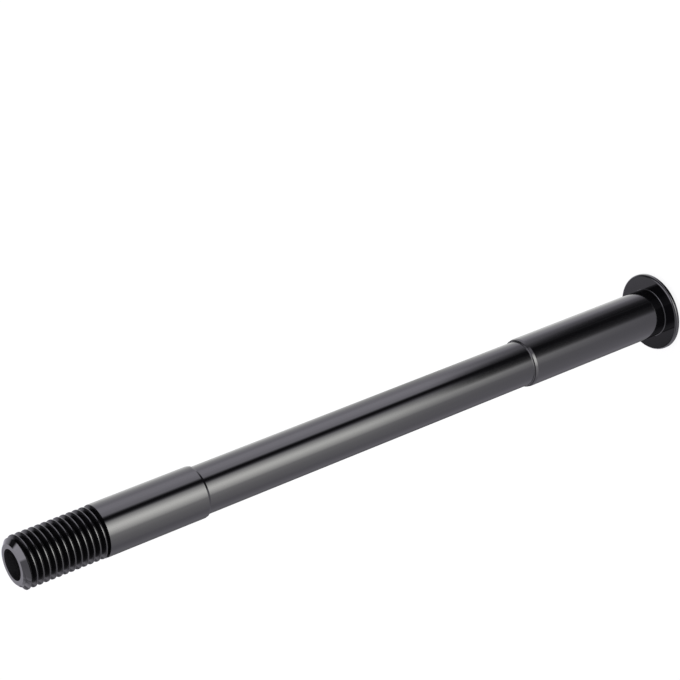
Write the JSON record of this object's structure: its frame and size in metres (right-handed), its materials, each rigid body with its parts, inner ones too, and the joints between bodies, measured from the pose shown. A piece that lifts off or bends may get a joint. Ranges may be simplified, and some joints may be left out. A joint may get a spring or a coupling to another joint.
{
  "type": "bicycle thru axle",
  "caption": "Hollow bolt-on thru axle with a flange head, a hexagonal key socket, a relieved waist between two bearing lands and a threaded tip.",
  "frame": {"origin": "centre of the outer face of the head, on which the axle stands", "axes": "+Z along the axle's axis, from the head to the threaded tip"},
  "size_m": [0.0196, 0.0196, 0.182],
  "materials": {
    "black_anodised": "glossy black anodised over a turned surface"
  },
  "bodies": {
    "root": {"axle": "black_anodised"}
  },
  "joints": []
}
